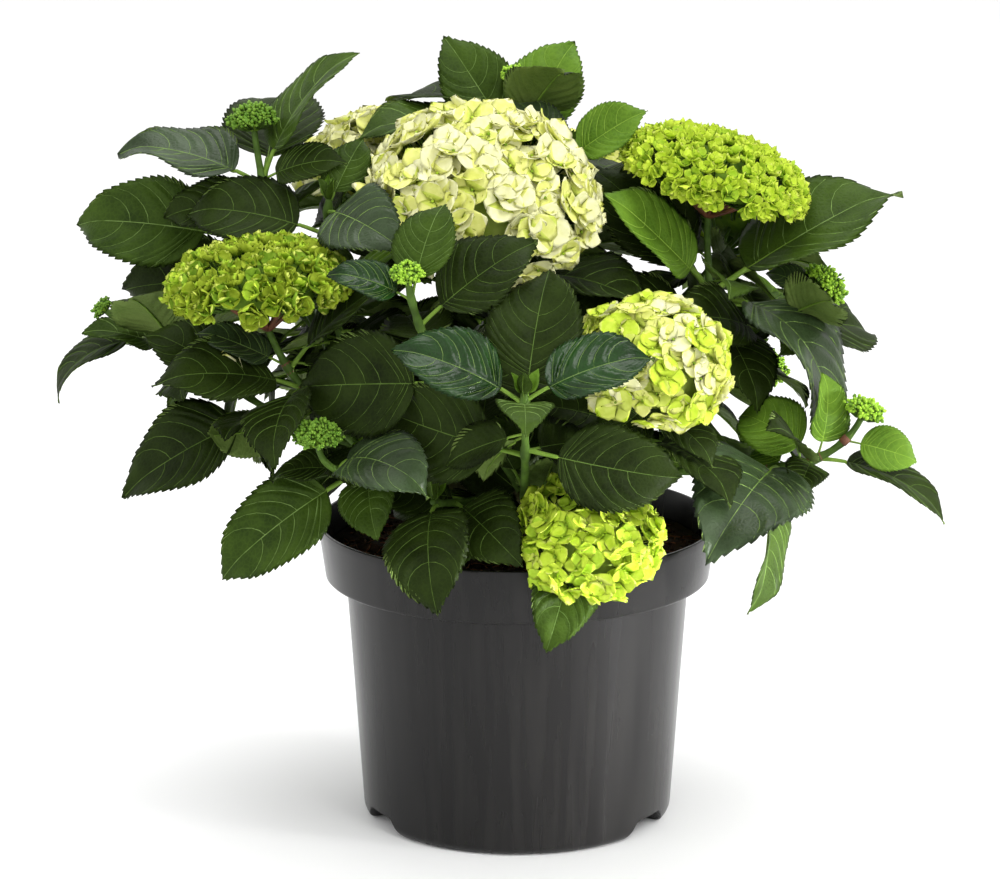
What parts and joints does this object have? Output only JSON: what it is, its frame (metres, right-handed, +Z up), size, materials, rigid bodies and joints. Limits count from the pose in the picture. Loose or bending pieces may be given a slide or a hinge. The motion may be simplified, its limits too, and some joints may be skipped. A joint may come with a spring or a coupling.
{
  "type": "potted mophead hydrangea shrub",
  "caption": "Mophead hydrangea shrub with broad dark toothed leaves and cream and lime flower heads, standing in a black round nursery pot.",
  "frame": {"origin": "the middle of the pot's flat underside, on the ground", "axes": "+Z up, -Y towards the plant's front, +X to the right seen from the front"},
  "size_m": [0.5724, 0.4428, 0.5001],
  "materials": {
    "pot_plastic": "black injection-moulded plastic, satin gloss with fine upright streaks",
    "peat": "dark brown moist peat with reddish fibres, matte",
    "woody_stem": "grey-brown flaking bark, matte",
    "green_stem": "smooth green stems with small brown pores",
    "leaf_and_flower": "dark green veined leaves with a soft sheen, cream and lime papery sepals"
  },
  "bodies": {
    "root": {"pot": "pot_plastic", "soil": "peat", "crown": "woody_stem", "limb_front": "green_stem", "limb_front_right": "green_stem", "limb_right": "green_stem", "limb_back_right": "green_stem", "limb_back": "green_stem", "limb_back_left": "green_stem", "limb_left": "green_stem", "limb_front_left": "green_stem", "limb_middle": "green_stem", "shoot_top": "leaf_and_flower", "shoot_back_top": "leaf_and_flower", "shoot_back_right_top": "leaf_and_flower", "shoot_right_top": "leaf_and_flower", "shoot_right": "leaf_and_flower", "shoot_right_low": "leaf_and_flower", "shoot_front_right": "leaf_and_flower", "shoot_front": "leaf_and_flower", "shoot_front_low": "leaf_and_flower", "shoot_front_mid": "leaf_and_flower", "shoot_left_high": "leaf_and_flower", "shoot_left_top": "leaf_and_flower", "shoot_left": "leaf_and_flower", "shoot_left_low": "leaf_and_flower", "shoot_front_left": "leaf_and_flower", "shoot_front_left_low": "leaf_and_flower", "shoot_far_left": "leaf_and_flower", "shoot_foot": "leaf_and_flower", "shoot_back_mid": "leaf_and_flower", "shoot_back_low": "leaf_and_flower", "shoot_back_right": "leaf_and_flower", "shoot_back_right_low": "leaf_and_flower", "shoot_back_left_top": "leaf_and_flower", "shoot_back_left": "leaf_and_flower", "shoot_back_left_low": "leaf_and_flower"}
  },
  "joints": []
}
